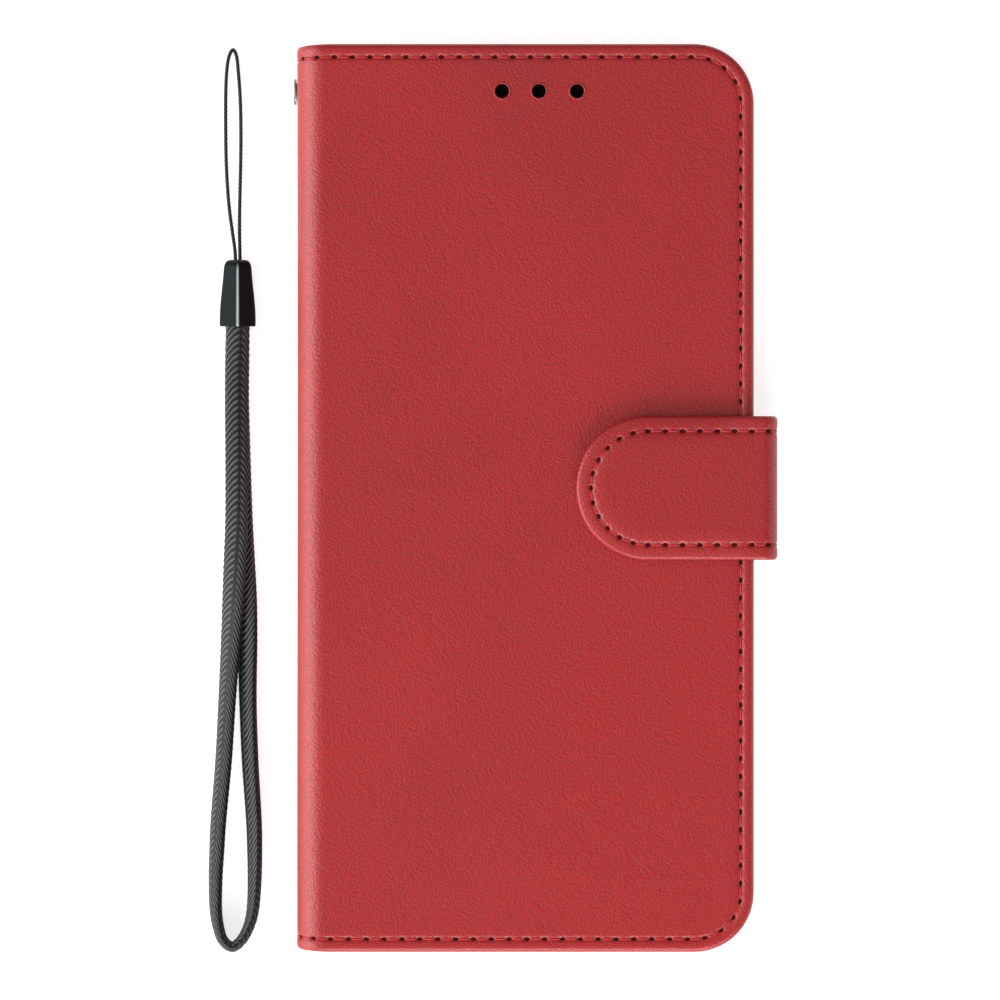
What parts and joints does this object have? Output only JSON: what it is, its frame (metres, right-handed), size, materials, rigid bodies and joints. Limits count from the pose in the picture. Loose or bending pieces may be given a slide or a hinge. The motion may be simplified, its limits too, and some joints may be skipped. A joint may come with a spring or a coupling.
{
  "type": "phone wallet case",
  "caption": "Book-style leather phone case with a moulded tray, card and cash pockets, a magnetic clasp strap and a braided wrist strap.",
  "frame": {"origin": "under the middle of the closed case, on the outer face of the back cover", "axes": "+X from the spine to the clasp, +Y to the top of the phone, +Z out of the front cover"},
  "size_m": [0.1053, 0.168, 0.0196],
  "materials": {
    "leather": "pebbled, semi-matt",
    "lining": "fine grain, matt",
    "thread": "waxed polyester",
    "paperboard": "raw grey-brown board",
    "foam": "thin foam",
    "tray": "soft satin",
    "eyelet": "plated",
    "magnet": "nickel plated",
    "bead": "satin gloss",
    "webbing": "braided"
  },
  "bodies": {
    "back_cover": {"back_skin": "leather", "back_board": "paperboard", "back_lining": "lining", "phone_tray": "tray", "clasp_anchor": "leather", "back_seam_thread": "thread"},
    "power_button": {"power_key": "tray"},
    "volume_button": {"volume_key": "tray"},
    "spine": {"spine_skin": "leather", "spine_board": "paperboard", "spine_lining": "lining", "eyelet_barrel": "eyelet", "eyelet_washer": "eyelet", "spine_thread_top": "thread", "spine_thread_bottom": "thread"},
    "front_cover": {"front_skin": "leather", "front_padding": "foam", "front_board": "paperboard", "front_magnet": "magnet", "front_lining": "lining", "cash_pocket_panel": "lining", "card_slot_inner": "lining", "card_slot_middle": "lining", "card_slot_outer": "lining", "front_seam_thread": "thread"},
    "clasp_bridge": {"clasp_bridge_outer": "leather", "clasp_bridge_lining": "lining"},
    "clasp_tab": {"clasp_tab_outer": "leather", "clasp_tab_stiffener": "paperboard", "clasp_tab_magnet": "magnet", "clasp_tab_lining": "lining", "clasp_tab_thread": "thread"},
    "wrist_strap": {"strap_thread_loop": "webbing", "strap_bead": "bead", "strap_webbing": "webbing"}
  },
  "joints": [
    {"name": "spine_hinge", "type": "hinge", "parent": "back_cover", "child": "spine", "pos_m": [-0.04272, 0, 0.00141], "axis": [0, -1, 0], "range_deg": [0, 55]},
    {"name": "front_hinge", "type": "hinge", "parent": "spine", "child": "front_cover", "pos_m": [-0.04272, 0, 0.01529], "axis": [0, -1, 0], "range_deg": [0, 125]},
    {"name": "clasp_bridge_hinge", "type": "hinge", "parent": "back_cover", "child": "clasp_bridge", "pos_m": [0.04401, 0, 0.00166], "axis": [0, 1, 0], "range_deg": [0, 90]},
    {"name": "clasp_tab_hinge", "type": "hinge", "parent": "clasp_bridge", "child": "clasp_tab", "pos_m": [0.04401, 0, 0.01884], "axis": [0, 1, 0], "range_deg": [0, 90]},
    {"name": "power_press", "type": "slide", "parent": "back_cover", "child": "power_button", "axis": [-1, 0, 0], "range_m": [0, 0.0005], "stiffness_N_per_m": 200},
    {"name": "volume_press", "type": "slide", "parent": "back_cover", "child": "volume_button", "axis": [-1, 0, 0], "range_m": [0, 0.0005], "stiffness_N_per_m": 200},
    {"name": "wrist_strap_lift", "type": "slide", "parent": "back_cover", "child": "wrist_strap", "axis": [0, 0, 1], "range_m": [0, 0.05]}
  ]
}
